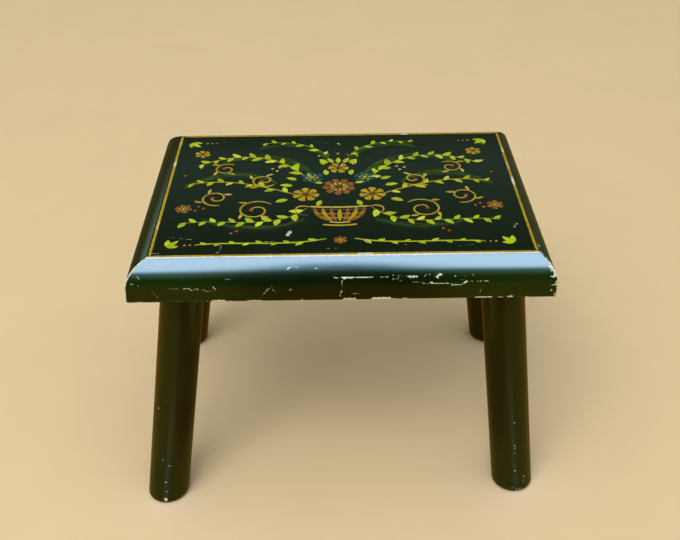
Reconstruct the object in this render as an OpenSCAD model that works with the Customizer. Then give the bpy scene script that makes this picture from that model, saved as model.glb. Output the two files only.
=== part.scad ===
// Low footstool: a board with a moulded edge on four round legs that splay both ways.
// X runs along the board, -Y is its front, and z = 0 is the floor. Sizes are in millimetres.

/* [Board] */
// Length of the board
board_l = 305; // [250:1:420]
// Width of the board, front to back
board_w = 223; // [180:1:320]
// Thickness of the board
board_t = 29.5; // [26:0.5:42]
// Height of the seat above the floor
seat_h = 224; // [160:1:320]

/* [Moulded edge] */
// Width of the moulding, from the flat top's rim to the board's side
edge_w = 13.5; // [12.5:0.5:18]
// How far the flat top lies off the board's middle, towards its right end
top_off = 1.9; // [-3:0.1:3]
// Slope of the moulding where it leaves the flat top, in degrees
rim_slope = 25; // [12:1:35]
// Radius of the moulding's upper, flatter part
crown_r = 37; // [28:1:60]
// Radius of the moulding's nose, which runs down into the board's side
nose_r = 20; // [7:0.5:21]
// Radius on the board's bottom edge
bottom_r = 0.6; // [0.4:0.2:3]
// Radius on the board's upright corners
corner_r = 2; // [0.6:0.2:5]

/* [Legs] */
// Diameter of a leg
leg_d = 32.5; // [26:0.5:40]
// Distance from the board's end to a leg's axis, at the underside
end_inset = 34; // [28:0.5:60]
// Distance from the board's front or back to a leg's axis, at the underside
side_inset = 35.5; // [28:0.5:60]
// Lean of the legs along the board, in degrees
lean_along = 8.2; // [0.5:0.1:13]
// Lean of the legs across the board, in degrees
lean_across = 7.5; // [0.5:0.1:13]
// Radius worn on the rim of a foot
foot_r = 3; // [0.5:0.5:6]

/* [Leg joints] */
// Depth of a leg's seat in the underside, on its shallow side
seat_depth = 1.5; // [0.5:0.25:4]
// Diameter of the stub tenon
tenon_d = 22; // [16:0.5:25]
// Length of the stub tenon beyond the leg's shoulder
tenon_l = 16; // [10:0.5:19]
// Chamfer on the tenon's end
tenon_chamfer = 1.5; // [0.5:0.25:3]
// Room for glue round the leg and its tenon
glue_gap = 0.1; // [0.05:0.05:0.3]
// Room for glue past the tenon's end
glue_pocket = 1; // [0.5:0.25:2.5]

/* [Hidden] */
$fn = 96;

// Numbers of the legs in the lists below
FRONT_LEFT = 0;
FRONT_RIGHT = 1;
BACK_LEFT = 2;
BACK_RIGHT = 3;
// Which way each leg stands from the middle of the board, along it and across it
SIDES = [[-1, -1], [1, -1], [-1, 1], [1, 1]];
// How far each socket was bored off the set lean, along the board and across it, in degrees
BORED_OFF = [[-0.1, 0.8], [-2, -1], [1.2, 0.1], [0.2, -0.1]];
// How far each socket was bored off its mark, along the board and across it
BORED_AT = [[2.2, 0], [1.1, 0], [0.8, 0], [0.5, 0]];

board_green = "#16231b";
leg_green = "#24260f";

underside = seat_h - board_t;
// Slope where the crown's arc meets the nose's arc, so that the two fill the moulding's width
meet_slope = asin((edge_w - nose_r + crown_r * sin(rim_slope)) / (crown_r - nose_r));
// Height of the moulding, down to where it runs into the upright side
edge_h = crown_r * (cos(rim_slope) - cos(meet_slope)) + nose_r * cos(meet_slope);
nose_centre = [edge_w - nose_r, -edge_h];
crown_centre = nose_centre - (crown_r - nose_r) * [sin(meet_slope), cos(meet_slope)];
// How far cutters run past the face that they cut
past = 1;

// The slope of a leg: how far it runs along and across the board for each millimetre of height
function run(i) = [
    SIDES[i][0] * tan(lean_along + BORED_OFF[i][0]),
    SIDES[i][1] * tan(lean_across + BORED_OFF[i][1])
];
// Angle between a leg and the upright
function lean(i) = atan(norm(run(i)));
// Where a leg's axis is at a height above the floor
function axis_at(i, z) = [
    SIDES[i][0] * (board_l / 2 - end_inset) + BORED_AT[i][0] + run(i)[0] * (underside - z),
    SIDES[i][1] * (board_w / 2 - side_inset) + BORED_AT[i][1] + run(i)[1] * (underside - z),
    z
];
// How far up the leg's axis its shoulder lies, past the underside
function shoulder(i) = (seat_depth + leg_d / 2 * sin(lean(i))) / cos(lean(i));
// Length of a leg's axis from the floor to the underside
function leg_length(i) = underside / cos(lean(i));

// Puts its children on a leg's axis, with z = 0 where the axis meets the underside
module on_axis(i) {
    translate(axis_at(i, underside))
        rotate([0, -lean(i), atan2(run(i)[1], run(i)[0])])
            children();
}

// What the moulding takes off the board's corner, drawn from the flat top's rim
module edge_waste() {
    difference() {
        translate([0, -edge_h])
            square([edge_w + past, edge_h + past]);
        translate(nose_centre)
            circle(nose_r);
        intersection() {
            translate(crown_centre)
                circle(crown_r);
            translate(nose_centre)
                rotate(90 - meet_slope)
                    translate([-crown_r, 0])
                        square(2 * crown_r);
        }
    }
}

// What a rounded corner takes off, drawn from that corner
module corner_waste(r) {
    difference() {
        translate([-r, -past])
            square([r + past, r + past]);
        translate([-r, r])
            circle(r);
    }
}

// Cross-section of the board for one of its two directions, standing on its underside
module board_section(width, off) {
    difference() {
        translate([-width / 2, 0])
            square([width, board_t]);
        for (side = [0, 1])
            mirror([side, 0]) {
                wide = edge_w + (side == 0 ? -off : off);
                translate([width / 2 - wide, board_t])
                    scale([wide / edge_w, 1])
                        edge_waste();
                translate([width / 2, 0])
                    corner_waste(bottom_r);
            }
    }
}

// Plan of the board, with its upright corners rounded
module board_plan() {
    difference() {
        square([board_l, board_w], center = true);
        for (flip_x = [0, 1], flip_y = [0, 1])
            mirror([flip_x, 0])
                mirror([0, flip_y])
                    translate([board_l / 2, -board_w / 2])
                        corner_waste(corner_r);
    }
}

// The hole for a leg: a seat for its shoulder and a blind mortise for its tenon
module leg_socket(i) {
    on_axis(i) {
        translate([0, 0, -leg_d])
            cylinder(d = leg_d + 2 * glue_gap, h = leg_d + shoulder(i));
        cylinder(d = tenon_d + 2 * glue_gap, h = shoulder(i) + tenon_l + glue_pocket);
    }
}

module seat_board() {
    color(board_green)
        translate([0, 0, underside])
            difference() {
                intersection() {
                    rotate([90, 0, 0])
                        linear_extrude(height = board_w + 2 * past, center = true)
                            board_section(board_l, top_off);
                    rotate([90, 0, 90])
                        linear_extrude(height = board_l + 2 * past, center = true)
                            board_section(board_w, 0);
                    linear_extrude(height = board_t)
                        board_plan();
                }
                translate([0, 0, -underside])
                    for (i = [FRONT_LEFT, FRONT_RIGHT, BACK_LEFT, BACK_RIGHT])
                        leg_socket(i);
            }
}

// Everything above the floor that a foot's worn rim leaves, as one turned form
module foot_form(i) {
    reach = leg_d / 2 / cos(lean(i));
    translate([axis_at(i, foot_r)[0], axis_at(i, foot_r)[1], 0])
        rotate_extrude()
            union() {
                square([reach - foot_r, foot_r]);
                intersection() {
                    translate([reach - foot_r, foot_r])
                        circle(foot_r);
                    square([reach, foot_r]);
                }
                polygon([[0, foot_r], [reach, foot_r], [reach + seat_h, seat_h], [0, seat_h]]);
            }
}

// Half the outline of a leg before its foot is cut, turned about its axis
module leg_profile(i) {
    tip = shoulder(i) + tenon_l;
    polygon([
        [0, -leg_length(i) - leg_d],
        [leg_d / 2, -leg_length(i) - leg_d],
        [leg_d / 2, shoulder(i)],
        [tenon_d / 2, shoulder(i)],
        [tenon_d / 2, tip - tenon_chamfer],
        [tenon_d / 2 - tenon_chamfer, tip],
        [0, tip]
    ]);
}

// A round leg with a square shoulder, a stub tenon and a foot cut flat to the floor
module leg(i) {
    color(leg_green)
        intersection() {
            on_axis(i)
                rotate_extrude()
                    leg_profile(i);
            foot_form(i);
        }
}

module leg_front_left() {
    leg(FRONT_LEFT);
}

module leg_front_right() {
    leg(FRONT_RIGHT);
}

module leg_back_left() {
    leg(BACK_LEFT);
}

module leg_back_right() {
    leg(BACK_RIGHT);
}

seat_board();
leg_front_left();
leg_front_right();
leg_back_left();
leg_back_right();
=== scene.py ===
# A low footstool: a board with a moulded edge on four splayed round legs, brushed with black-green enamel.
# Places and sizes in the dictionaries are in millimetres, and the pieces are built in metres.
import bpy
import bmesh
import math
import random
from mathutils import Matrix, Vector, kdtree


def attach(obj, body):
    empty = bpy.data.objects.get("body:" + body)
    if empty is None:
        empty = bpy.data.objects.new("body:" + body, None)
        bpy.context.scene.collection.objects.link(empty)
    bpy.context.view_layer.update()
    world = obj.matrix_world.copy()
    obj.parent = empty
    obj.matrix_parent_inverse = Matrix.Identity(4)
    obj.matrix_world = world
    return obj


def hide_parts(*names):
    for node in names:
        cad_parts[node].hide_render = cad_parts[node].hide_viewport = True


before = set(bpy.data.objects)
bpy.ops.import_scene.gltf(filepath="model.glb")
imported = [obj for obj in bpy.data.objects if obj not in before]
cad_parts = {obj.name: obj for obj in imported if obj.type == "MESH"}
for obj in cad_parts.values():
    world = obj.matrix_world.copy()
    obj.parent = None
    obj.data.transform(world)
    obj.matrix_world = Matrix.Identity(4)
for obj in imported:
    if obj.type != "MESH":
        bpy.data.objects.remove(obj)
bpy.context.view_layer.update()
mm = 0.001


# Helpers for nodes, which find the tree from the sockets that they are given

def addNode(tree, kind, inputs=None, **settings):
    made = tree.nodes.new("ShaderNode" + kind)
    for key, value in settings.items():
        setattr(made, key, value)
    for key, value in (inputs or {}).items():
        if isinstance(value, bpy.types.NodeSocket):
            tree.links.new(value, made.inputs[key])
        else:
            made.inputs[key].default_value = value
    return made


def newMaterial(name, inputs=None, kind="BsdfPrincipled"):
    material = bpy.data.materials.new(name)
    material.use_nodes = True
    tree = material.node_tree
    tree.nodes.clear()
    shader = addNode(tree, kind, inputs)
    addNode(tree, "OutputMaterial", {"Surface": shader.outputs[0]})
    return material, tree, shader.inputs


def treeOf(*values):
    return next(value.id_data for value in values if isinstance(value, bpy.types.NodeSocket))


def noise(place, cells, detail, offset=(0, 0, 0)):
    # Cells in a metre are one number for all ways, or one for each of X, Y and Z
    scale = cells if isinstance(cells, tuple) else (cells,) * 3
    moved = addNode(treeOf(place), "Mapping", {"Vector": place, "Scale": scale, "Location": offset})
    return addNode(treeOf(place), "TexNoise", {"Vector": moved.outputs["Vector"], "Scale": 1.0,
                                               "Detail": detail, "Roughness": 0.6}).outputs["Fac"]


def ramp(value, low, high, toLow=0.0, toHigh=1.0):
    inputs = {"Value": value, "From Min": low, "From Max": high, "To Min": toLow, "To Max": toHigh}
    return addNode(treeOf(value), "MapRange", inputs, interpolation_type="SMOOTHSTEP").outputs["Result"]


def maths(operation, first, second=0.5):
    made = addNode(treeOf(first, second), "Math", {0: first, 1: second}, operation=operation)
    return made.outputs["Value"]


def times(first, second):
    return maths("MULTIPLY", first, second)


def plus(first, second):
    return maths("ADD", first, second)


def minus(first, second):
    return maths("SUBTRACT", first, second)


def mixColour(share, first, second, blend="MIX"):
    # A Mix node has its colours at inputs 6 and 7, and gives theirs at output 2
    return addNode(treeOf(share, first, second), "Mix", {0: share, 6: first, 7: second}, data_type="RGBA",
                   blend_type=blend).outputs[2]


def bump(height, distance, strength, under=None):
    made = addNode(treeOf(height), "Bump", {"Height": height, "Distance": distance, "Strength": strength})
    if under:
        made.id_data.links.new(under, made.inputs["Normal"])
    return made.outputs["Normal"]


def attribute(tree, name, output="Fac"):
    return addNode(tree, "Attribute", attribute_name=name).outputs[output]


def objectPlace(tree):
    return addNode(tree, "TexCoord").outputs["Object"]


# Helpers for meshes

sharpAngle = 40      # degrees; faces that meet at more keep a crisp edge


def meshObject(bm, name, material):
    mesh = bpy.data.meshes.new(name)
    bm.to_mesh(mesh)
    bm.free()
    mesh.materials.append(material)
    made = bpy.data.objects.new(name, mesh)
    bpy.context.scene.collection.objects.link(made)
    return made


def addPiece(bm, name, material, node=None, smooth=True):
    piece = meshObject(bm, name, material)
    piece.data.polygons.foreach_set("use_smooth", [smooth] * len(piece.data.polygons))
    piece.data.set_sharp_from_angle(angle=math.radians(sharpAngle))
    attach(piece, "root")
    if node:
        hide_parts(node)
    return piece


def madeOf(made, kind):
    return [part for part in made["geom"] if isinstance(part, kind)]


def cutLevel(bm, height, dropBelow=False):
    # Cuts every face at a height, and may drop what lies below
    everything = list(bm.verts) + list(bm.edges) + list(bm.faces)
    bmesh.ops.bisect_plane(bm, geom=everything, plane_co=(0, 0, height),
                           plane_no=(0, 0, -1 if dropBelow else 1), clear_outer=dropBelow)


def roundEdges(bm, edges, radius, segments=3, clamp=True):
    bmesh.ops.bevel(bm, geom=edges, affect="EDGES", offset=radius, segments=segments, profile=0.5,
                    material=-1, clamp_overlap=clamp)


# Where a mark ends, in radii, and how steeply it fades towards there
wearReach, wearFade = 1.4, 1.5


def addWear(bm, lines):
    # Marks points from 0 to 1 along lines (start, end, radius, strength); strong marks break the paint up
    layer = bm.verts.layers.float.new("wear")
    bm.verts.ensure_lookup_table()
    tree = kdtree.KDTree(len(bm.verts))
    for vert in bm.verts:
        tree.insert(vert.co, vert.index)
    tree.balance()
    for start, end, radius, strength in lines:
        start, end, radius = Vector(start) * mm, Vector(end) * mm, radius * mm
        steps = max(1, math.ceil((end - start).length / (radius * 0.5)))
        for step in range(steps + 1):
            onFace = tree.find(start.lerp(end, step / steps))[0]
            for _, index, away in tree.find_range(onFace, radius * wearReach):
                mark = strength * min(1.0, max(0.0, wearReach - away / radius) * wearFade)
                vert = bm.verts[index]
                vert[layer] = max(vert[layer], mark)


# Camera, at the photo's viewing angle

cameraSpec = {
    "place": (-5.77, -661.37, 585.1),
    "yaw": 0.516,      # degrees to the right of +Y
    "pitch": 33.58,      # degrees down
    "roll": -0.55,
    "lens": 50.29,
    "nearClip": 0.02,
}


def addCamera(spec):
    camera = bpy.data.objects.new("stoolCamera", bpy.data.cameras.new("stoolCamera"))
    camera.data.lens = spec["lens"]
    camera.data.clip_start = spec["nearClip"]
    turn = (Matrix.Rotation(math.radians(-spec["yaw"]), 4, "Z")
            @ Matrix.Rotation(math.radians(90 - spec["pitch"]), 4, "X")
            @ Matrix.Rotation(math.radians(spec["roll"]), 4, "Z"))
    camera.matrix_world = Matrix.Translation(Vector(spec["place"]) * mm) @ turn
    bpy.context.scene.collection.objects.link(camera)
    bpy.context.scene.camera = camera


addCamera(cameraSpec)
bpy.context.scene.view_settings.view_transform = "Standard"
print("camera placed")


# Floor, lights and world, with distances in metres

def addGlossCard(name, bm):
    # A glowing card that only reflections see; gives its nodes and the socket of its colour
    material, tree, glow = newMaterial(name, kind="Emission")
    card = meshObject(bm, name, material)
    card.visible_camera = False
    card.visible_diffuse = False
    card.visible_shadow = False
    return tree, glow["Color"]


def placeParts(tree):
    parts = addNode(tree, "SeparateXYZ", {"Vector": objectPlace(tree)}).outputs
    return parts["X"], parts["Y"], parts["Z"]


sideSpec = {
    "reach": (0.09, 0.17),
    "origin": 0.44,      # behind the stool, where the lines between middle and sides meet
}


def sideShare(x, y, spec):
    # From 0 straight in front of the stool, where the reflections are dark, to 1 at either side
    return ramp(maths("DIVIDE", maths("ABSOLUTE", x), minus(spec["origin"], y)), *spec["reach"])


floorSpec = {
    "size": 8.0,
    "drop": 0.0001,      # keeps it just under the feet
    "colour": (0.97, 0.74, 0.43, 1),
    # Painted reflections: what gloss sees of the floor, near the stool and far in front, in the middle and
    # to the sides
    "middle": (0.28, 0.15, 0.01, 1),
    "sides": (0.41, 0.335, 0.06, 1),
    "farMiddle": (0.02, 0.08, 0.02, 1),
    "farSides": (0.16, 0.38, 0.04, 1),
    "farReach": (-1.0, -0.3),
    "back": (0.5, 0.27, 0.03, 1),
    "backReach": (-0.16, 0.04),
    # A painted sheen down each leg: paler streaks on the floor in front of each foot, which only
    # reflections see: where they start, and their slope in plan
    "streaks": [(-0.1436, -0.104, -0.15), (0.1404, -0.098, 0.2)],
    "legSheenColour": (0.52, 0.61, 0.72, 1),
    "legSheenSpread": (0.34, 0.06),
    "legSheenReach": (0.28, 0.12),
    "legSheenStart": (0.0, 0.03),
}


def addFloor(spec):
    bm = bmesh.new()
    bmesh.ops.create_grid(bm, x_segments=1, y_segments=1, size=spec["size"] / 2)
    bmesh.ops.translate(bm, vec=(0, 0, -spec["drop"]), verts=bm.verts)
    matt = {"Roughness": 0.75, "Specular IOR Level": 0.0}
    material, tree, shader = newMaterial("studioFloorPaint", matt)
    x, y, _ = placeParts(tree)
    tone = ramp(noise(objectPlace(tree), 9, 5.0), 0.3, 0.7, 0.97, 1.0)
    tint = mixColour(1.0, spec["colour"], tone, "MULTIPLY")
    aside = sideShare(x, y, sideSpec)
    seen = mixColour(ramp(y, *spec["farReach"]),
                     mixColour(aside, spec["farMiddle"], spec["farSides"]),
                     mixColour(aside, spec["middle"], spec["sides"]))
    seen = mixColour(ramp(y, *spec["backReach"]), seen, spec["back"])
    for footX, footY, slope in spec["streaks"]:
        ahead = minus(footY, y)
        off = maths("ABSOLUTE", minus(maths("DIVIDE", minus(x, footX), ahead), slope))
        streak = times(ramp(off, *spec["legSheenSpread"]), ramp(ahead, *spec["legSheenReach"]))
        streak = times(streak, ramp(ahead, *spec["legSheenStart"]))
        seen = mixColour(streak, seen, spec["legSheenColour"])
    # Glossy rays see the painted reflection colours and sheen streaks in place of the floor's own colour
    inGloss = addNode(tree, "LightPath").outputs["Is Glossy Ray"]
    tree.links.new(mixColour(inGloss, tint, seen), shader["Base Color"])
    meshObject(bm, "studioFloor", material)


addFloor(floorSpec)


skySpec = {
    "height": 3.0,
    "back": 0.32,
    "glow": (7.9, 10.95, 36.8),
    "dim": (0.02, 0.09, 0.15),
    # Where the sky is half as bright, and how its brightness falls off across that line
    "edge": [(-2.6, -3.05), (-0.9, -3.05), (-0.58, -2.9), (-0.42, -2.55), (-0.3, -2.15), (-0.2, -1.55),
             (-0.13, -1.22), (0, -1.05), (0.13, -1.2), (0.2, -1.52), (0.28, -2), (0.38, -2.45),
             (0.48, -2.7), (0.65, -3), (0.9, -3.2), (2.6, -3.2)],
    "fade": [(0.9, 1.0), (0.5, 0.86), (0, 0.5), (-0.45, 0.24), (-0.9, 0.1), (-1.7, 0.03), (-3.0, 0)],
}


def addSkyCard(spec):
    # A ceiling of soft light, dim over the stool's front and with a soft edge all along
    rows = [(None, 1.0)] + spec["fade"]
    bm = bmesh.new()
    layer = bm.verts.layers.float_color.new("glow")
    bmesh.ops.create_grid(bm, x_segments=len(spec["edge"]) - 1, y_segments=len(rows) - 1, size=0.5)
    for vert in bm.verts:
        x, edge = spec["edge"][round((vert.co.x + 0.5) * (len(spec["edge"]) - 1))]
        offset, share = rows[round((vert.co.y + 0.5) * (len(rows) - 1))]
        vert.co = (x, spec["back"] if offset is None else edge + offset, spec["height"])
        shares = share ** 1.3, share, share      # the red goes first, as at dusk
        vert[layer] = [low + (high - low) * part
                       for low, high, part in zip(spec["dim"], spec["glow"], shares)] + [1]
    tree, glow = addGlossCard("skyCard", bm)
    tree.links.new(attribute(tree, "glow", "Color"), glow)


addSkyCard(skySpec)


def uprightCard(place, side, height):
    bm = bmesh.new()
    corners = ((-side, 0), (side, 0), (side, height), (-side, height))
    bm.faces.new([bm.verts.new((x, place, z)) for x, z in corners])
    return bm


backCardSpec = {
    "place": 0.185,
    "size": (2, 2.4),
    "sides": (-0.1, 0.1),
    "high": (0.31, 0.445, 0.378, 1),
    "middle": (0.5, 0.78, 0.675, 1),
    "left": (0.108, 0.094, 0.034, 1),
    "right": (0.16, 0.144, 0.054, 1),
    "reach": (0.24, 0.3),
    "fade": (0.29, 0.42),
}


def addBackCard(spec):
    # Close behind the stool: dim and grey-green where its top sees it, and warmer below that
    tree, glow = addGlossCard("backCard", uprightCard(spec["place"], *spec["size"]))
    x, _, z = placeParts(tree)
    low = mixColour(ramp(x, *spec["sides"]), spec["left"], spec["right"])
    high = mixColour(ramp(z, *spec["fade"]), spec["middle"], spec["high"])
    tree.links.new(mixColour(ramp(z, *spec["reach"]), low, high), glow)


addBackCard(backCardSpec)


farCardSpec = {
    "place": -4.0,
    "size": (1.8, 3.3),      # half its width, and its height
    "dark": (0.015, 0.06, 0.025, 1),
    "low": (0.13, 0.31, 0.04, 1),
    "high": (0.8, 1.55, 2.4, 1),
    "reach": (0.8, 3.2),
}


def addFarCard(spec):
    # Far in front: green to either side and dark in the middle, bluer where the sky starts
    tree, glow = addGlossCard("farCard", uprightCard(spec["place"], *spec["size"]))
    x, y, z = placeParts(tree)
    green = mixColour(ramp(z, *spec["reach"]), spec["low"], spec["high"])
    tree.links.new(mixColour(sideShare(x, y, sideSpec), spec["dark"], green), glow)


addFarCard(farCardSpec)


keySpec = {
    "place": (-0.7, -1.5, 2.3),
    "aim": (0, 0, 0.15),
    "colour": (1.0, 0.98, 0.95),
    "size": 1.6,
    "power": 29.0,
}


def addKeyLight(spec):
    light = bpy.data.lights.new("keyLight", "AREA")
    light.shape = "SQUARE"
    light.size = spec["size"]
    light.energy = spec["power"]
    light.color = spec["colour"]
    lamp = bpy.data.objects.new("keyLight", light)
    aim = (Vector(spec["aim"]) - Vector(spec["place"])).to_track_quat("-Z", "Y")
    lamp.matrix_world = Matrix.Translation(spec["place"]) @ aim.to_matrix().to_4x4()
    lamp.visible_glossy = False
    bpy.context.scene.collection.objects.link(lamp)


addKeyLight(keySpec)


worldSpec = {
    "dark": (0.115, 0.115, 0.09, 1),
    "bright": (0.95, 0.98, 1.0, 1),
    "inGloss": (0.07, 0.08, 0.07, 1),
    "strength": 0.9,
    "facing": (0, -0.42, 0.9),      # where the world is brightest
    "reach": (0.15, 0.95),
}


def addWorld(spec):
    world = bpy.data.worlds.new("studioWorld")
    world.use_nodes = True
    bpy.context.scene.world = world
    tree = world.node_tree
    tree.nodes.clear()
    aim = addNode(tree, "TexCoord").outputs["Generated"]
    facing = addNode(tree, "VectorMath", {0: aim, 1: spec["facing"]}, operation="DOT_PRODUCT")
    share = ramp(facing.outputs["Value"], *spec["reach"])
    tint = mixColour(share, spec["dark"], spec["bright"])
    inGloss = addNode(tree, "LightPath").outputs["Is Glossy Ray"]
    tint = mixColour(inGloss, tint, spec["inGloss"])
    back = addNode(tree, "Background", {"Color": tint, "Strength": spec["strength"]})
    addNode(tree, "OutputWorld", {"Surface": back.outputs["Background"]})


addWorld(worldSpec)
print("floor and lights made")


# Enamel of the board and the legs

enamelSpec = {
    "boardDeep": (0.0022, 0.0058, 0.0007, 1),
    "boardPale": (0.0036, 0.0082, 0.0014, 1),
    # The Warmth colours tint the enamel's and the paints' reflections: a painted warm reflection, as of a
    # warm floor
    "boardWarmth": (0.95, 1.0, 0.38, 1),
    "legDeep": (0.0042, 0.0085, 0.002, 1),
    "legPale": (0.0068, 0.012, 0.0032, 1),
    "legWarmth": (1.0, 0.8, 0.25, 1),
    "primer": (0.45, 0.55, 0.5, 1),
    "bareWood": (0.72, 0.67, 0.45, 1),
    "scratch": (0.21, 0.25, 0.12, 1),      # under a light scratch, which doesn't reach the wood
    "dust": (0.16, 0.2, 0.17, 1),
    "gloss": 0.12,
    "dull": 0.18,
    "chippedDull": 0.72,
    "refraction": 1.62,
    "topShine": 0.085,      # how strongly the rubbed flat top reflects, against the moulding
    # Cells in a metre of the fine and the wide brush marks, and of each other kind of mark
    "boardStrokes": [(11, 520, 520), (6, 130, 130)],
    "legStrokes": [(520, 520, 14), (130, 130, 7)],
    "patchCells": 22,
    "peelCells": 420,
    "gritCells": 1500,
    "chipCells": 700,
    "primerCells": 380,
    "dustCells": 95,
    # Depths of the marks in metres
    "strokeDepth": 0.00004,
    "peelDepth": 0.00002,
    "gritDepth": 0.000008,
    "chipDepth": 0.00004,
}
usualSpecular = 0.5


def wornShare(place, spec):
    # Where the paint is gone: ragged chips inside the marked wear, and how deep they go
    wear = attribute(treeOf(place), "wear")
    ragged = noise(place, spec["chipCells"], 6.0, (2, 8, 1))
    chips = ramp(plus(wear, times(ragged, 1.6)), 1.34, 1.42)
    return times(chips, ramp(wear, 0.02, 0.1)), ramp(wear, 0.45, 0.75)


def enamel(name, part, spec, shine=1.0):
    material, tree, shader = newMaterial(name, {
        "IOR": spec["refraction"], "Specular Tint": spec[part + "Warmth"],
        "Specular IOR Level": usualSpecular * shine})
    place = attribute(tree, "legPlace", "Vector") if part == "leg" else objectPlace(tree)
    fine, wide = spec[part + "Strokes"]
    strokes = noise(place, fine, 4.0)
    strokesWide = noise(place, wide, 3.0, (3, 1, 2))
    patches = noise(place, spec["patchCells"], 4.0, (1, 5, 9))
    peel = noise(place, spec["peelCells"], 2.0)
    grit = noise(place, spec["gritCells"], 2.0, (7, 0, 4))
    chips, deepness = wornShare(place, spec)
    patchy = ramp(noise(place, spec["primerCells"], 3.0, (4, 4, 0)), 0.36, 0.52)
    lost = mixColour(deepness, spec["scratch"], mixColour(patchy, spec["primer"], spec["bareWood"]))
    tone = ramp(plus(times(patches, 0.6), times(strokesWide, 0.4)), 0.3, 0.7)
    paint = mixColour(tone, spec[part + "Deep"], spec[part + "Pale"])
    # A dust speck sits in the middle of a few of the cells
    cells = addNode(tree, "TexVoronoi", {"Vector": place, "Scale": spec["dustCells"]}).outputs
    near = ramp(cells["Distance"], 0.02, 0.045, 1.0, 0.0)
    few = ramp(addNode(tree, "SeparateColor", {"Color": cells["Color"]}).outputs["Red"], 0.8, 0.86)
    paint = mixColour(times(times(near, few), 0.8), paint, spec["dust"])
    tree.links.new(mixColour(chips, paint, lost), shader["Base Color"])
    rough = ramp(plus(times(strokes, 0.5), times(patches, 0.5)), 0.3, 0.7, spec["gloss"], spec["dull"])
    rough = addNode(tree, "Mix", {0: chips, 2: rough, 3: spec["chippedDull"]}).outputs[0]
    tree.links.new(rough, shader["Roughness"])
    relief = bump(strokes, spec["strokeDepth"], 0.5)
    relief = bump(peel, spec["peelDepth"], 0.3, relief)
    relief = bump(grit, spec["gritDepth"], 0.4, relief)
    tree.links.new(bump(chips, -spec["chipDepth"], 0.7, relief), shader["Normal"])
    return material


boardEnamel = enamel("boardEnamel", "board", enamelSpec)
topEnamel = enamel("topEnamel", "board", enamelSpec, enamelSpec["topShine"])
legEnamel = enamel("legEnamel", "leg", enamelSpec)
print("enamels mixed")


# The fixings of the legs, shared by the board's sockets and the legs' tenons

jointSpec = {
    "underside": 194.5,
    "halfLength": 152.5,
    "halfWidth": 111.5,
    "endInset": 34,
    "sideInset": 35.5,
    "leanAlong": 8.2,      # degrees
    "leanAcross": 7.5,
    "legRadius": 16.25,
    "seatDepth": 1.5,
    "tenonRadius": 11,
    "tenonLength": 16,
    "tenonChamfer": 1.5,
    "glueGap": 0.1,
    "gluePocket": 1,
    "spare": 20,      # how far a socket runs below the underside before it is cut there
    "turnSteps": 96,
}
legList = [
    {"name": "leg_front_left", "side": (-1, -1), "boredOff": (-0.1, 0.8), "boredAt": 2.2},
    {"name": "leg_front_right", "side": (1, -1), "boredOff": (-2.0, -1.0), "boredAt": 1.1},
    {"name": "leg_back_left", "side": (-1, 1), "boredOff": (1.2, 0.1), "boredAt": 0.8},
    {"name": "leg_back_right", "side": (1, 1), "boredOff": (0.2, -0.1), "boredAt": 0.5},
]


def setLegAxis(leg, spec):
    (sideX, sideY), (offX, offY) = leg["side"], leg["boredOff"]
    runX = sideX * math.tan(math.radians(spec["leanAlong"] + offX))
    runY = sideY * math.tan(math.radians(spec["leanAcross"] + offY))
    lean = math.atan(math.hypot(runX, runY))
    leg["run"] = Vector((runX, runY, -1))
    leg["top"] = Vector((sideX * (spec["halfLength"] - spec["endInset"]) + leg["boredAt"],
                         sideY * (spec["halfWidth"] - spec["sideInset"]), spec["underside"]))
    leg["matrix"] = (Matrix.Translation(leg["top"]) @ Matrix.Rotation(math.atan2(runY, runX), 4, "Z")
                     @ Matrix.Rotation(-lean, 4, "Y"))
    leg["shoulder"] = (spec["seatDepth"] + spec["legRadius"] * math.sin(lean)) / math.cos(lean)
    leg["length"] = spec["underside"] / math.cos(lean)


def turned(outline, steps, rows=0):
    # Turns half an outline of (radius, height) points, with rows added to its second stretch
    bm = bmesh.new()
    points = [bm.verts.new((radius, 0, height)) for radius, height in outline]
    edges = [bm.edges.new(pair) for pair in zip(points, points[1:])]
    if rows:
        bmesh.ops.subdivide_edges(bm, edges=edges[1:2], cuts=rows)
    bmesh.ops.spin(bm, geom=list(bm.verts) + list(bm.edges), cent=(0, 0, 0), axis=(0, 0, 1),
                   angle=math.tau, steps=steps, use_merge=True, use_duplicate=False)
    bmesh.ops.remove_doubles(bm, verts=bm.verts, dist=0.001)
    bmesh.ops.recalc_face_normals(bm, faces=bm.faces)
    return bm


for leg in legList:
    setLegAxis(leg, jointSpec)


# Seat board: a flat top, a mitred moulding and an upright band, bored underneath for the legs

boardSpec = {
    "seatHeight": 224,
    "top": 223.94,      # the paints fill the rest of the height
    "edgeWidth": 13.5,
    "topOff": 1.9,      # how far the flat top lies to the right of the board's middle
    "rimSlope": 25,      # degrees
    "crownRadius": 37,
    "noseRadius": 20,
    "bottomRadius": 0.6,
    "lip": 2.2,      # width of a ring round the underside that keeps the chips at its edge
    "cornerRound": 1.1,
    "rimRound": 0.5,
    "cell": 1.25,
    "crownRows": 5,
    "noseRows": 15,
    "bandRows": 8,
}


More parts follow.
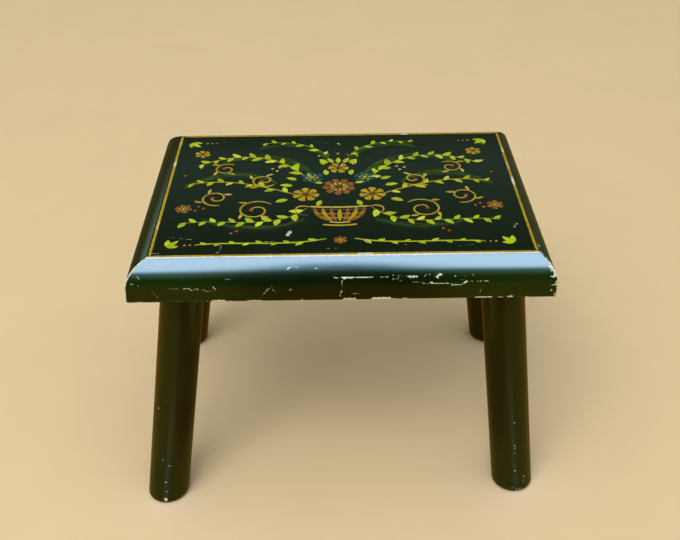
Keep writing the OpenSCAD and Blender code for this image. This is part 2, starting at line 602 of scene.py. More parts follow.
def edgeOutline(spec, joint):
    # Points of the edge in section, as how far out and how far down from the flat top's rim
    crown, nose = spec["crownRadius"], spec["noseRadius"]
    wide, low = spec["edgeWidth"], spec["bottomRadius"]
    rim = math.radians(spec["rimSlope"])
    meet = math.asin((wide - nose + crown * math.sin(rim)) / (crown - nose))
    height = crown * (math.cos(rim) - math.cos(meet)) + nose * math.cos(meet)
    noseCentre = Vector((wide - nose, -height))
    crownCentre = noseCentre - (crown - nose) * Vector((math.sin(meet), math.cos(meet)))
    drop = spec["top"] - joint["underside"]
    points = []
    for step in range(spec["crownRows"] + 1):
        slope = rim + (meet - rim) * step / spec["crownRows"]
        points.append(crownCentre + crown * Vector((math.sin(slope), math.cos(slope))))
    for step in range(1, spec["noseRows"] + 1):
        slope = meet + (math.pi / 2 - meet) * step / spec["noseRows"]
        points.append(noseCentre + nose * Vector((math.sin(slope), math.cos(slope))))
    for step in range(1, spec["bandRows"] + 1):
        points.append(Vector((wide, -height - (drop - height - low) * step / spec["bandRows"])))
    for angle in (math.radians(30), math.radians(60), math.radians(90)):
        points.append(Vector((wide - low * (1 - math.cos(angle)), low * (1 - math.sin(angle)) - drop)))
    return points


def endShare(spec, side):
    # How wide the moulding is at the left (-1) or right (1) end, against that of the front and back
    return 1 - side * spec["topOff"] / spec["edgeWidth"]


def growRing(bm, rim, out, down, spec):
    # Extrudes the open rim out and down, and gives the new rim and the edges along its mitres
    made = bmesh.ops.extrude_edge_only(bm, edges=rim)
    ring = set(madeOf(made, bmesh.types.BMVert))
    left, right = min(vert.co.x for vert in ring), max(vert.co.x for vert in ring)
    edgeY = max(vert.co.y for vert in ring)
    mitres = []
    for vert in ring:
        side = 1 if vert.co.x > spec["topOff"] else -1
        reach = right - spec["topOff"] if side > 0 else spec["topOff"] - left
        shareX, shareY = (vert.co.x - spec["topOff"]) / reach, vert.co.y / edgeY
        if min(abs(shareX), abs(shareY)) > 0.9999:      # at a corner
            mitres += [edge for edge in vert.link_edges if edge.other_vert(vert) not in ring]
        vert.co += Vector((out * shareX * endShare(spec, side), out * shareY, down))
    rim = [edge for edge in madeOf(made, bmesh.types.BMEdge) if set(edge.verts) <= ring]
    return rim, mitres


def isRimEdge(edge, top):
    onTop = all(abs(vert.co.z - top) < 0.001 for vert in edge.verts)
    return onTop and any(min(vert.co.z for vert in face.verts) < top - 0.01 for face in edge.link_faces)


def boreSocket(bm, leg, joint):
    radius, tenon = joint["legRadius"] + joint["glueGap"], joint["tenonRadius"] + joint["glueGap"]
    end = leg["shoulder"] + joint["tenonLength"] + joint["gluePocket"]
    socket = turned([(radius, -joint["spare"]), (radius, leg["shoulder"]), (tenon, leg["shoulder"]),
                     (tenon, end), (0, end)], joint["turnSteps"])
    socket.transform(leg["matrix"])
    cutLevel(socket, joint["underside"], dropBelow=True)
    bored = bpy.data.meshes.new("socket")
    socket.to_mesh(bored)
    socket.free()
    bm.from_mesh(bored)
    bpy.data.meshes.remove(bored)


def buildBoard(spec, joint):
    halfX = joint["halfLength"] - spec["edgeWidth"]
    halfY = joint["halfWidth"] - spec["edgeWidth"]
    cellsX, cellsY = round(2 * halfX / spec["cell"]), round(2 * halfY / spec["cell"])
    bm = bmesh.new()
    bmesh.ops.create_grid(bm, x_segments=cellsX, y_segments=cellsY, size=0.5,
                          matrix=Matrix.Diagonal((2 * halfX, 2 * halfY, 1, 1)))
    bmesh.ops.translate(bm, vec=(spec["topOff"], 0, spec["top"]), verts=bm.verts)
    rim = [edge for edge in bm.edges if edge.is_boundary]
    mitres = []
    outline = edgeOutline(spec, joint)
    for last, point in zip(outline, outline[1:]):
        rim, fresh = growRing(bm, rim, point.x - last.x, point.y - last.y, spec)
        mitres += fresh
    rim, _ = growRing(bm, rim, -spec["lip"], 0, spec)
    roundEdges(bm, mitres, spec["cornerRound"])
    roundEdges(bm, [edge for edge in bm.edges if isRimEdge(edge, spec["top"])], spec["rimRound"])
    for leg in legList:
        boreSocket(bm, leg, joint)
    bmesh.ops.triangle_fill(bm, edges=[edge for edge in bm.edges if edge.is_boundary], use_beauty=True,
                            normal=(0, 0, -1))
    bmesh.ops.recalc_face_normals(bm, faces=bm.faces)
    for face in bm.faces:      # the flat top takes the board's second enamel
        face.material_index = int(min(vert.co.z for vert in face.verts) > spec["top"] - 0.1)
    bmesh.ops.scale(bm, vec=(mm, mm, mm), verts=bm.verts)
    return bm


def mitreWear(spec, joint, side, start, end, radius, strength):
    # A worn line down one front mitre, between two shares of the outline
    points = [(side * (joint["halfLength"] - (spec["edgeWidth"] - point.x) * endShare(spec, side)),
               -(joint["halfWidth"] - spec["edgeWidth"] + point.x), spec["top"] + point.y)
              for point in edgeOutline(spec, joint)]
    first, last = round(start * (len(points) - 1)), round(end * (len(points) - 1))
    return [(a, b, radius, strength) for a, b in zip(points[first:last], points[first + 1:last + 1])]


def topWear(rows):
    # Lines on the flat top, from rows of x and y at both ends, radius and strength
    height = boardSpec["seatHeight"]
    return [((x, y, height), (farX, farY, height), *mark) for x, y, farX, farY, *mark in rows]


def wearOfBoard(spec, joint):
    front = -joint["halfWidth"]
    lines = topWear(topMarks)
    lines += [((x, front, z), (farX, front, farZ), *mark) for x, z, farX, farZ, *mark in frontMarks]
    lines += [(mark[:3], mark[3:6], *mark[6:]) for mark in otherMarks]
    for side, start, end, *mark in mitreMarks:
        lines += mitreWear(spec, joint, side, start, end, *mark)
    return lines


# Down the front mitres: which end, from and to which share of the outline, radius and strength
mitreMarks = [
    (-1, 0, 0.75, 0.5, 0.78), (1, 0, 0.23, 0.45, 0.62), (1, 0.23, 0.44, 0.6, 0.88),
    (1, 0.44, 0.72, 0.55, 0.58), (-1, 0.75, 1, 0.6, 0.46), (1, 0.72, 1, 0.6, 0.48),
]
# On the front's upright band: x and height at both ends, radius and strength
frontMarks = [
    # Spots beside the mitres
    (146.8, 205.3, 150.6, 204.6, 0.6, 0.7), (148.2, 201.4, 149.4, 199.6, 0.6, 0.72),
    # Scratches on the front
    (63.3, 208.2, 71.7, 207.1, 0.64, 0.72), (71.7, 207.1, 84.5, 206.4, 0.64, 0.72),
    (84.5, 206.4, 88.5, 208.6, 0.64, 0.72), (95, 208.6, 102.8, 208.4, 0.64, 0.6),
    (97.8, 202.2, 98.3, 199, 0.55, 0.54), (8, 199.9, 12.5, 199.8, 0.64, 0.62),
    (-121.5, 205.7, -115, 205.6, 0.72, 0.59), (-111, 206.3, -104, 205, 0.8, 0.68),
    (-102.4, 206.8, -100.4, 204.9, 0.72, 0.66), (-98, 205, -94, 203.8, 0.64, 0.6),
    (-93.7, 203.6, -91.2, 203.8, 0.64, 0.66), (-90.2, 207.2, -88.5, 204.8, 0.72, 0.68),
    (-56.6, 198.5, -51, 205, 0.72, 0.55), (-49.1, 206.8, -46.2, 200.8, 0.64, 0.58),
    (-133.1, 205, -129.4, 198, 0.64, 0.52), (-37.2, 203.8, -34.3, 204.6, 0.64, 0.58),
    # Chips along the bottom arris
    (-151, 194.9, 151, 194.9, 0.72, 0.42), (-145.7, 195, -141.4, 195, 0.8, 0.66),
    (-91, 195.1, -83.5, 195.1, 1.2, 0.86), (-83.5, 195, -78, 195, 0.8, 0.62),
    (-66, 195, -57, 195, 1, 0.74), (-29.3, 195, -27.2, 195, 1, 0.76), (2, 195, 10, 195, 1.2, 0.88),
    (22, 195.1, 34, 195.1, 1.3, 0.92), (34, 195, 38, 195, 0.8, 0.62), (43.6, 195, 46.9, 195, 1, 0.76),
    (95.5, 195.2, 106.5, 195.2, 1.1, 0.82), (112, 195.1, 114, 195.1, 0.8, 0.66),
    (118.6, 195.3, 121.9, 195.3, 1.2, 0.86), (130.5, 195, 131.5, 195, 0.9, 0.7),
]
# On the flat top: x and y at both ends, radius and strength
topMarks = [
    (-38.5, -70, -36.5, -66, 1.6, 0.74), (119, 86, 121, 80, 0.72, 0.57),
    (121.5, 77, 125, 72, 0.72, 0.57), (128, -63, 131, -58, 1.4, 0.63),
    (-59, -78.6, -47, -79.2, 0.88, 0.66), (-126, -71, -121, -72, 0.9, 0.58),
    (-118, -72.5, -108, -75, 0.9, 0.6), (-20, 83, -8, 80, 0.9, 0.56), (8, 76, 18, 71, 0.9, 0.56),
    (-64, 62, -58, 60, 0.9, 0.55), (84, -88, 96, -87, 0.9, 0.58), (-10, -90, -2, -89, 0.8, 0.55),
    (-88, -93.5, -87.4, -93.5, 0.8, 0.85), (0, 79.5, 1.5, 77, 1.1, 0.76),
    (-123, -83, -118, -83.5, 0.9, 0.62), (-98, 86.7, -95, 86.7, 0.8, 0.52),
    (-85.6, -79, -86.2, -92, 0.64, 0.58), (-134, -92.5, -130, -93.5, 0.96, 0.68),
    (45, -84, 48, -88, 0.8, 0.47), (60, 82, 63, 78, 0.72, 0.47),
]
# Elsewhere: x, y and height at both ends, radius and strength
otherMarks = [
    # The front arris of the flat top, rubbed to a fine pale line, which also stands for a painted glint
    # along that arris
    (-136.5, -98.2, 223.9, 139.5, -98.2, 223.9, 1, 1.1),
    # Spots beside the mitres
    (-142.9, -109.7, 214.9, -142.4, -109.9, 214.5, 0.9, 0.8),
    (-142.7, -111.4, 209.5, -142.3, -111.4, 209.3, 0.7, 0.72),
    (-146.9, -111.4, 209.7, -146.5, -111.4, 209.7, 0.6, 0.57),
    (147.6, -108.5, 215.8, 148.8, -109.8, 214.4, 0.6, 0.6),
    (149, -111, 211.7, 150.2, -111.4, 209.4, 0.9, 0.66),
    (146, -106.4, 218.1, 148.6, -108.2, 215.9, 0.7, 0.7),
    (146.2, -107.9, 216.3, 146.5, -108.1, 216, 0.6, 0.78),
    (147.5, -110.2, 211.9, 148.5, -110.5, 211.2, 0.8, 0.8),
    (150.4, -109.8, 212.9, 150.9, -110.4, 211.4, 0.8, 0.74),
    (151.6, -111.3, 207, 152.1, -111.2, 205, 0.7, 0.66),
    (138.4, -105, 219.6, 138.6, -105.2, 219.4, 0.5, 0.6),
    (150.9, -111.5, 197.3, 151.6, -111.3, 196.7, 0.7, 0.64),
    # The line rubbed along the front's nose
    (-5, -110.4, 213.6, 0.5, -110.6, 213, 0.8, 0.47), (0.5, -110.6, 213, 7, -110.7, 212.8, 1, 0.9),
    (7, -110.7, 212.9, 21.5, -110.7, 212.9, 0.8, 0.81),
    (26, -110.6, 213.1, 33, -110.6, 213.1, 0.8, 0.64),
    (36, -110.5, 211.6, 43, -110.8, 210.2, 1.3, 0.47), (37, -110.4, 213.6, 46, -110.4, 213.4, 1, 0.47),
    (47.7, -110.4, 213.4, 52.5, -110.7, 212.7, 1.2, 0.81),
    (58, -109.8, 213, 62.4, -109.3, 214, 0.8, 0.62),
    (66, -110.5, 213.2, 70.1, -110.3, 213.7, 1.3, 0.76),
    (68, -111, 211.9, 68.4, -111, 211.7, 0.96, 0.81),
    (80.3, -110.6, 213.1, 81.8, -110.8, 212.6, 0.88, 0.66),
    (84.6, -109.9, 212.7, 88, -109.7, 213, 0.7, 0.6),
    (84.9, -110.8, 210.3, 86.8, -110.9, 209.9, 0.7, 0.58),
    (92.4, -110.3, 213.9, 92.7, -110.5, 213, 0.8, 0.57),
    (-81, -110.8, 212.4, -78, -110.8, 212.3, 0.8, 0.6),
    (-4.8, -110, 212.4, -2.8, -110, 212.4, 0.9, 0.66),
    # Scratches on the front
    (49.4, -111.2, 208.5, 63.3, -111.3, 207.8, 0.64, 0.56),
    (88.5, -111.5, 208.6, 92.7, -111.4, 209.5, 0.64, 0.59),
    (1.5, -110.7, 212.6, -0.7, -111.5, 198, 0.64, 0.62),
    (-71.4, -111.4, 208, -70.8, -111.5, 205.8, 0.55, 0.54),
    (-37.6, -106, 218.6, -30.5, -105, 219.6, 0.8, 0.64),
    (-17.6, -106.2, 218.7, -17.2, -106.2, 218.7, 0.8, 0.71),
    (-67.5, -102, 221.8, -67.5, -102.8, 221.3, 0.72, 0.85),
    # Chips along the bottom arris
    (-152.5, -111, 194.9, -152.5, 111, 194.9, 0.72, 0.34),
    (152.5, -111, 194.9, 152.5, 111, 194.9, 0.72, 0.34),
    (-151, 111.5, 194.9, 151, 111.5, 194.9, 0.72, 0.34),
    # Scuffs on the top and the right-hand moulding
    (141.4, -90.5, 223.2, 141.8, -88, 223.2, 1, 0.85), (139.6, 4, 223.8, 139.8, 13, 223.8, 0.96, 0.68),
]
boardMesh = buildBoard(boardSpec, jointSpec)
addWear(boardMesh, wearOfBoard(boardSpec, jointSpec))
board = addPiece(boardMesh, "seat_board_enamelled", boardEnamel, "seat_board")
board.data.materials.append(topEnamel)
print("board built,", len(board.data.polygons), "faces")


# Legs: round, each cut flat at the floor with its rim worn round, and a stub tenon in the board

legSpec = {
    "footRound": 3.4,
    "footSegments": 6,
    "footRows": (4.2, 5, 5.8),
    "footCut": 0.01,      # height of the cut, just above the floor
    "footSpare": 10,      # how far a leg runs below the floor before that cut
    "tinyEdge": 0.2,
    "firstRow": 9,
    "rows": 128,
    "brushShift": 0.7,      # metres along its brush marks between one leg and the next
    # Chips of each leg: degrees round from +X, height, radius and strength
    "chips": [
        [      # front left
            (-133, 88, 0.7, 0.62), (-112, 97, 0.8, 0.6), (-108, 43, 0.8, 0.72), (-88, 38, 0.8, 0.74),
            (-95, 33, 0.7, 0.62), (-98, 27, 0.7, 0.66), (-96, 22, 0.7, 0.72), (-97, 17, 0.7, 0.62),
            (-92, 12, 0.8, 0.76), (-94, 8, 0.7, 0.66), (-92, 4, 1.1, 0.9), (-99, 5, 0.8, 0.7),
            (-60, 2, 0.8, 0.56), (-120, 2, 0.8, 0.58), (-80, 3, 0.7, 0.6),
        ],
        [      # front right
            (-48, 92, 0.8, 0.74), (-82, 70, 0.7, 0.66), (-132, 62, 0.8, 0.74), (-84, 47, 0.8, 0.8),
            (-84, 44, 0.8, 0.84), (-84, 41, 0.8, 0.74), (-57, 45, 0.8, 0.72), (-88, 27, 0.7, 0.62),
            (-86, 22, 0.7, 0.68), (-87, 17, 0.7, 0.66), (-84, 12, 0.7, 0.7), (-60, 15, 0.8, 0.82),
            (-61, 12, 0.8, 0.76), (-97, 5, 0.7, 0.68), (-84, 3.5, 0.9, 0.76), (-77, 3.5, 0.9, 0.78),
            (-70, 3, 0.9, 0.76), (-55, 3.5, 0.8, 0.68), (-125, 3.5, 0.8, 0.66), (-110, 3, 0.8, 0.64),
        ],
        [(-60, 3, 1, 0.66), (120, 3, 1, 0.66), (10, 3, 1, 0.66), (95, 40, 0.8, 0.7)],      # back left
        [(-120, 3, 1, 0.6), (60, 3, 1, 0.66), (170, 3, 1, 0.66), (75, 30, 0.8, 0.7)],      # back right
    ],
}


def buildLeg(leg, spec, joint):
    tip = leg["shoulder"] + joint["tenonLength"]
    radius, tenon, chamfer = joint["legRadius"], joint["tenonRadius"], joint["tenonChamfer"]
    bm = turned([(radius, -leg["length"] - spec["footSpare"]), (radius, spec["firstRow"] - leg["length"]),
                 (radius, leg["shoulder"]), (tenon, leg["shoulder"]), (tenon, tip - chamfer),
                 (tenon - chamfer, tip), (0, tip)], joint["turnSteps"], spec["rows"])
    bm.transform(leg["matrix"])
    cutLevel(bm, spec["footCut"], dropBelow=True)
    bmesh.ops.contextual_create(bm, geom=[edge for edge in bm.edges if edge.is_boundary])
    bmesh.ops.dissolve_degenerate(bm, edges=bm.edges, dist=spec["tinyEdge"])
    rim = [edge for edge in bm.edges
           if all(abs(vert.co.z - spec["footCut"]) < 0.001 for vert in edge.verts)]
    roundEdges(bm, rim, spec["footRound"], spec["footSegments"], clamp=False)
    for height in spec["footRows"]:
        cutLevel(bm, height)
    bmesh.ops.recalc_face_normals(bm, faces=bm.faces)
    bmesh.ops.scale(bm, vec=(mm, mm, mm), verts=bm.verts)
    return bm


def wearOfLeg(leg, chips, joint):
    lines = []
    for degrees, height, radius, strength in chips:
        angle = math.radians(degrees)
        centre = leg["top"] + leg["run"] * (joint["underside"] - height)
        spot = centre + joint["legRadius"] * Vector((math.cos(angle), math.sin(angle), 0))
        lines.append((spot, spot + Vector((0.4, 0, 0)), radius, strength))
    return lines


def markLegPlace(bm, leg, shift):
    # Places along the leg, for brush marks that follow its lean
    layer = bm.verts.layers.float_vector.new("legPlace")
    back = leg["matrix"].inverted()
    for vert in bm.verts:
        vert[layer] = (back @ (vert.co / mm)) * mm + Vector((0, 0, shift))


for number, leg in enumerate(legList):
    legMesh = buildLeg(leg, legSpec, jointSpec)
    addWear(legMesh, wearOfLeg(leg, legSpec["chips"][number], jointSpec))
    markLegPlace(legMesh, leg, legSpec["brushShift"] * number)
    addPiece(legMesh, leg["name"] + "_enamelled", legEnamel, leg["name"])
print("legs built")


# Decorating paints: each stroke is a thin closed film on the board's top

paintSpec = {
    "low": 223.93,
    "layer": 223.952,      # top of the lowest layer of strokes
    "layerStep": 0.007,
    "unevenness": 0.003,
    "rows": 10,
    "lanes": 2,
    "seed": 11,
    "shades": (0.86, 1.1),
    "gloss": (0.26, 0.38),
    "shine": 0.085,      # how strongly the paints reflect, against the moulding's enamel
    "drag": 0.000012,      # depth of the marks that the bristles leave
}
paintPots = {
    "lime": (0.56, 0.67, 0.012),
    "limePale": (0.72, 0.82, 0.06),
    "olive": (0.17, 0.26, 0.02),
    "gold": (0.56, 0.38, 0.014),
    "goldPale": (0.66, 0.51, 0.08),
    "umber": (0.17, 0.1, 0.015),
    "red": (0.46, 0.085, 0.02),
    "rust": (0.34, 0.12, 0.02),
    "teal": (0.014, 0.09, 0.072),
    "green": (0.05, 0.13, 0.012),
}
# How wide a stroke is from its start, t = 0, to its end, t = 1
brushShapes = {
    "line": lambda t: min(1, 30 * t + 0.3, 30 * (1 - t) + 0.3),
    "leaf": lambda t: max(0.04, math.sin(math.pi * t ** 0.85)) ** 0.8,
    "comma": lambda t: max(0.05, math.sqrt(max(0, 1 - (1 - t / 0.26) ** 2)) if t < 0.26
                           else (1.26 - t) ** 1.7),
    "dab": lambda t: math.sqrt(max(0.004, 1 - (2 * t - 1) ** 2)),
    "long": lambda t: max(0.03, math.sin(math.pi * t)) ** 0.5,
}


def filmPaint(name, spec, under):
    material, tree, shader = newMaterial(name, {
        "IOR": under["refraction"], "Specular Tint": under["boardWarmth"],
        "Specular IOR Level": usualSpecular * spec["shine"]})
    place, brushed = objectPlace(tree), attribute(tree, "brushPlace", "Vector")
    tint, cover = attribute(tree, "tint", "Color"), attribute(tree, "tint", "Alpha")
    streaks = noise(brushed, (90, 2400, 1), 3.0)
    blots = noise(brushed, (420, 420, 1), 2.0, (5, 1, 3))
    tone = plus(ramp(streaks, 0.3, 0.7, -0.22, 0.1), ramp(blots, 0.3, 0.7, 0.8, 1.06))
    laid = ramp(plus(cover, ramp(streaks, 0.25, 0.75, -0.45, 0.45)), 0.15, 0.95)
    rubbed = ramp(noise(place, 900, 4.0, (1, 2, 6)), 0.62, 0.68, 1.0, 0.2)
    colour = mixColour(times(laid, rubbed), under["boardDeep"], mixColour(1.0, tint, tone, "MULTIPLY"))
    chips, _ = wornShare(place, under)
    tree.links.new(mixColour(chips, colour, under["bareWood"]), shader["Base Color"])
    tree.links.new(ramp(streaks, 0.3, 0.7, *spec["gloss"]), shader["Roughness"])
    relief = bump(blots, spec["drag"], 0.4, bump(streaks, spec["drag"], 0.5))
    tree.links.new(relief, shader["Normal"])
    return material


def onPath(path, t):
    # A path is a list of control points, or a function of how far along it is
    if callable(path):
        return path(t)
    points = [Vector(point) for point in path]
    while len(points) > 1:
        points = [first.lerp(second, t) for first, second in zip(points, points[1:])]
    return points[0]


def headingOn(path, t):
    return (onPath(path, min(1, t + 0.01)) - onPath(path, max(0, t - 0.01))).normalized()


def startPaint(spec):
    bm = bmesh.new()
    return {"bm": bm, "tint": bm.verts.layers.float_color.new("tint"),
            "place": bm.verts.layers.float_vector.new("brushPlace"), "dice": random.Random(spec["seed"]),
            "spec": spec}


def brushStroke(paint, path, width, pot, shape="leaf", layer=2, cover=(1, 1), rows=None, lanes=None,
                wobble=0.04):
    # Lays a grid along a path, as wide as the shape says; cover goes from the path's left to its right
    dice, spec = paint["dice"], paint["spec"]
    rows, lanes = rows or spec["rows"], lanes or spec["lanes"]
    made = bmesh.ops.create_grid(paint["bm"], x_segments=lanes, y_segments=rows, size=0.5)
    length = sum((onPath(path, (k + 1) / 8) - onPath(path, k / 8)).length for k in range(8))
    high = spec["layer"] + layer * spec["layerStep"] + dice.uniform(0, spec["unevenness"])
    seed = dice.uniform(0, 60)
    shade = dice.uniform(*spec["shades"])
    waver = [dice.uniform(-wobble, wobble) for _ in range(rows + 1)]
    for vert in made["verts"]:
        t, across = vert.co.y + 0.5, vert.co.x * 2
        ahead = headingOn(path, t)
        beside = Vector((ahead.y, -ahead.x))
        waverShare = 1 if across > 0 else -0.6      # the two sides don't waver alike
        half = width / 2 * brushShapes[shape](t) * (1 + waver[round(t * rows)] * waverShare)
        spot = onPath(path, t) + beside * half * across
        vert.co = Vector((spot.x, spot.y, high)) * mm
        hide = cover[0] + (cover[1] - cover[0]) * (0.5 + across / 2)
        vert[paint["tint"]] = [part * shade for part in paintPots[pot]] + [hide]
        vert[paint["place"]] = Vector((t * length * mm, half * across * mm, seed))


def finishPaint(paint, name, paintName, wear=()):
    bm, spec = paint["bm"], paint["spec"]
    made = bmesh.ops.extrude_face_region(bm, geom=list(bm.faces))
    for vert in madeOf(made, bmesh.types.BMVert):
        vert.co.z = spec["low"] * mm
    bmesh.ops.recalc_face_normals(bm, faces=bm.faces)
    addWear(bm, wear)
    addPiece(bm, name, filmPaint(paintName, spec, enamelSpec), smooth=False)


def turnedBy(vector, degrees):
    angle = math.radians(degrees)
    return Vector((vector.x * math.cos(angle) - vector.y * math.sin(angle),
                   vector.x * math.sin(angle) + vector.y * math.cos(angle)))


# Gold line along the rim of the flat top

lineSpec = {
    "left": -135.0, "right": 139.1, "front": -96.7, "back": 96.4,
    "width": 2.0,
    "sway": 0.7,      # how far the hand strays to either side
    "rows": 170,
    # Rubbed stretches: x and y at both ends, radius and strength
    "wear": [
        (-138, -97, -111, -97, 1.5, 0.42), (13, -97, 22, -97, 1.6, 0.85), (-135, 42, -135, 47, 1.6, 0.9),
        (139, 2, 139, 13, 1.6, 0.8), (56, 96.5, 61, 96.5, 1.5, 0.7), (139, 60, 139, 66, 1.4, 0.6),
        (-135, -60, -135, -50, 1.4, 0.5), (61, -97, 76, -97, 1.4, 0.4), (139, 30, 139, 40, 1.4, 0.5),
        (-135, 80, -135, 86, 1.3, 0.5),
    ],
}


def paintBorder(spec):
    paint = startPaint(paintSpec)
    left, right, front, back = spec["left"], spec["right"], spec["front"], spec["back"]
    over = spec["width"] / 2
    sides = [((left - over, front), (right + over, front)), ((right, front - over), (right, back + over)),
             ((right + over, back), (left - over, back)), ((left, back + over), (left, front - over))]
    for number, (start, end) in enumerate(sides):
        start, end = Vector(start), Vector(end)
        aside = turnedBy((end - start).normalized(), 90)
        bends = [start.lerp(end, t) + aside * paint["dice"].uniform(-spec["sway"], spec["sway"])
                 for t in (0.2, 0.4, 0.6, 0.8)]
        brushStroke(paint, [start] + bends + [end], spec["width"], "gold", "line", number % 2,
                    rows=spec["rows"], wobble=0.12)
    finishPaint(paint, "line_border", "linePaint", topWear(spec["wear"]))


paintBorder(lineSpec)
print("border lined")


# The painted picture: a bowl of flowers among leafy scrolls

pictureSpec = {
    # Bands round the bowl: y, half their length, paint and width
    "bowlBands": [(-29, 23, "goldPale", 2.2), (-33, 21.5, "umber", 1.2), (-39, 19, "gold", 1.1),
                  (-45, 14.5, "gold", 1.1), (-52, 8, "goldPale", 1.6), (-56, 13, "gold", 2.0)],
    # From here on, all but the middle flowers are on the right, and mirrored to the left
    # Wide dry strokes of green behind the flowers: control points and width
    "dryStrokes": [([(20, 20), (50, 66), (96, 44)], 15), ([(50, 8), (84, 38), (122, 2)], 14),
                   ([(4, 40), (30, 88), (66, 70)], 12), ([(26, -50), (62, -74), (104, -48)], 11)],
    # Vines: control points, paint, number and length of leaves, width, and the leaves' spread in degrees
    "vines": [([(24, -30), (48, -66), (84, -44), (120, -52)], "olive", 14, 9.5, 1.3, 48),
              ([(22, 10), (46, 62), (84, 66), (116, 40)], "gold", 16, 9.5, 1.3, 48),
              ([(34, -10), (70, 10), (92, 18), (122, 8)], "gold", 10, 8.5, 1.3, 48),
              ([(8, 52), (18, 80), (44, 86), (66, 80)], "olive", 8, 7.5, 1.0, 48),
              ([(10, -76), (40, -86), (70, -78), (104, -82)], "lime", 9, 6.5, 1.5, 32)],
    # Scrolls: centre, radius, start in degrees, and turns
    "scrolls": [((64, -34), 15, 140, -1.35), ((96, -14), 12, 250, 1.3), ((60, 14), 11, 215, 1.3),
                ((92, 34), 10, 130, -1.25)],
    # Flowers: centre, radius, number of petals, and paints of the petals, the strokes on them and the eye
    "sideFlowers": [
        ((26, -10), 10.5, 7, "gold", "rust", "umber"), ((21, 18), 9, 6, "teal", "gold", "lime"),
        ((119, -30), 6.5, 6, "rust", "gold", "lime"), ((114, 62), 6.5, 6, "gold", "rust", "teal")],
    "middleFlowers": [
        ((0, 2), 13, 9, "rust", "goldPale", "umber"), ((0, 34), 8.5, 6, "gold", "rust", "teal"),
        ((0, -78), 5, 6, "rust", "gold", "lime")],
    # Loose leaves: x, y, degrees from straight back, and length
    "leaves": [(40, -18, 112, 10), (37, 4, 80, 10), (33, 30, 40, 10), (10, 22, 10, 9), (13, 8, 75, 8),
               (14, -20, 165, 9), (12, 40, 20, 9), (34, 14, 65, 9)],
    "berries": [(50, 30), (54, 34), (48, 36), (104, -30), (108, -27), (110, -33), (76, -64), (80, -67),
                (124, 24)],
    "corner": (125, 84),
}


def paintLeaf(paint, base, heading, length, width, pot, bend):
    base, heading = Vector(base), Vector(heading).normalized()
    middle = base + turnedBy(heading, bend) * length * 0.55
    brushStroke(paint, [base, middle, base + heading * length], width, pot)


def paintDot(paint, centre, radius, pot, layer=3):
    centre, reach = Vector(centre), Vector((radius, 0))
    brushStroke(paint, [centre - reach, centre + reach], radius * 2, pot, "dab", layer, rows=6)


def paintVine(paint, path, pot, leaves, length, width, spread):
    brushStroke(paint, path, width, pot, "line", 1, rows=30, lanes=1, wobble=0.15)
    for k in range(leaves):
        t = (k + 0.7) / (leaves + 0.4)
        turn = 1 if k % 2 else -1
        size = length * (1.1 - 0.3 * t) * paint["dice"].uniform(0.8, 1.15)
        paintLeaf(paint, onPath(path, t), turnedBy(headingOn(path, t), turn * spread), size, size * 0.5,
                  "lime" if k % 5 else "limePale", -turn * 16)


def curl(centre, radius, start, turns):
    # A spiral that winds in towards its centre, with its start in degrees
    def at(t):
        angle = math.radians(start) + math.tau * turns * t
        return Vector(centre) + radius * (1 - 0.78 * t) * Vector((math.cos(angle), math.sin(angle)))
    return at


def paintFlower(paint, centre, radius, petals, outer, inner, eye):
    centre = Vector(centre)
    start = paint["dice"].uniform(0, 90)
    for k in range(petals):
        out = turnedBy(Vector((0, 1)), start + 360 * k / petals)
        petal = [centre + out * radius, centre + turnedBy(out, 9) * radius * 0.6,
                 centre + out * radius * 0.22]
        brushStroke(paint, petal, radius * 4.2 / petals, outer, "comma", 3)
        across = turnedBy(out, 180 / petals)
        fleck = [centre + across * radius * 0.56, centre + across * radius * 0.2]
        brushStroke(paint, fleck, radius * 1.6 / petals, inner, "comma", 4, rows=6, lanes=1)
    paintDot(paint, centre, radius * 0.16, eye, 5)


def mirrored(points, side):
    return [(side * x, y) for x, y in points]


def paintBowl(paint, bands):
    for k in range(-3, 4):      # the flutes
        brushStroke(paint, [(6.4 * k, -33 + abs(k)), (6.2 * k, -44), (2.6 * k, -51)], 3.4,
                    "rust" if k % 2 else "gold", "long", 1)
    for y, reach, pot, width in bands:
        brushStroke(paint, [(-reach, y), (0, y - 3), (reach, y)], width, pot, "line", 2, rows=18, lanes=1)
    for side in (-1, 1):      # the handles
        handle = mirrored([(22, -30), (36, -22), (38, -42), (24, -42)], side)
        brushStroke(paint, handle, 2.0, "gold", "comma", 2, rows=16)


def paintDryStrokes(paint, strokes):
    # Thick at the upper side of each stroke, and fading at the lower
    for side in (-1, 1):
        fade = (0.85, -0.25) if side > 0 else (-0.25, 0.85)
        for path, width in strokes:
            path = mirrored(path, side)
            brushStroke(paint, path, width, "green", "long", 0, fade, rows=20, lanes=6)
            raised = [(x, y + width * 0.36) for x, y in path]
            brushStroke(paint, raised, width * 0.22, "olive", "long", 1, (0.35, 0.1), rows=16)


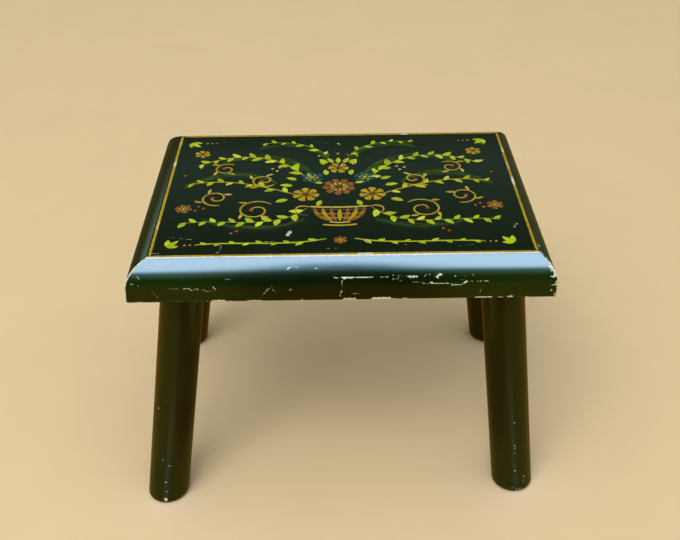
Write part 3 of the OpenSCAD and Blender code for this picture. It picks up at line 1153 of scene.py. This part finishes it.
def paintScroll(paint, side, centre, radius, start, turns):
    # A gold scroll with leaves off it
    if side < 0:
        start, turns = 180 - start, -turns
    path = curl((side * centre[0], centre[1]), radius, start, turns)
    brushStroke(paint, path, 1.5, "gold", "line", 2, rows=34, lanes=1, wobble=0.15)
    paintDot(paint, onPath(path, 1), 1.7, "red")
    for t in (0.16, 0.34, 0.52):
        out = (onPath(path, t) - onPath(path, min(1, t + 0.5))).normalized()
        paintLeaf(paint, onPath(path, t) + out, out + headingOn(path, t) * 0.9, 7, 2.6,
                  "goldPale" if t > 0.3 else "gold", 12)


def paintCorner(paint, side, end, place):
    # Three leaves and three dots that point from a corner of the picture to its middle
    corner = Vector((side * place[0], end * place[1]))
    for degrees in (-44, 0, 44):
        heading = turnedBy(Vector((-side, -end)).normalized(), degrees)
        paintLeaf(paint, corner, heading, 11 - abs(degrees) * 0.05, 4.2, "lime", 10 * side)
    for k in range(3):
        paintDot(paint, corner + Vector((-side * (13 + 4 * k), -end * 1.5)), 1.1 - 0.2 * k, "gold")


def paintSide(paint, side, spec):
    for path, *look in spec["vines"]:
        paintVine(paint, mirrored(path, side), *look)
    for scroll in spec["scrolls"]:
        paintScroll(paint, side, *scroll)
    for (x, y), *look in spec["sideFlowers"]:
        paintFlower(paint, (side * x, y), *look)
    for x, y, degrees, length in spec["leaves"]:
        heading = turnedBy(Vector((0, 1)), -side * degrees)
        paintLeaf(paint, (side * x, y), heading, length, length * 0.5, "lime", side * 14)
    for x, y in spec["berries"]:
        paintDot(paint, (side * x, y), 1.3, "red" if x > 60 else "goldPale")
    for end in (-1, 1):
        paintCorner(paint, side, end, spec["corner"])


def paintPicture(spec):
    paint = startPaint(paintSpec)
    paintDryStrokes(paint, spec["dryStrokes"])
    paintBowl(paint, spec["bowlBands"])
    for side in (-1, 1):
        paintSide(paint, side, spec)
    for flower in spec["middleFlowers"]:
        paintFlower(paint, *flower)
    for k in range(-2, 3):      # a fan of leaves and dots behind the middle flowers
        paintLeaf(paint, (4.5 * k, 43), (k * 0.5, 1), 9.5, 4.2, "lime", 6 * k)
        paintDot(paint, (8 * k, 60 - abs(k) * 2), 1.2, "red" if k % 2 else "goldPale")
    finishPaint(paint, "painted_flowers", "picturePaint")


paintPicture(pictureSpec)
print("picture painted")
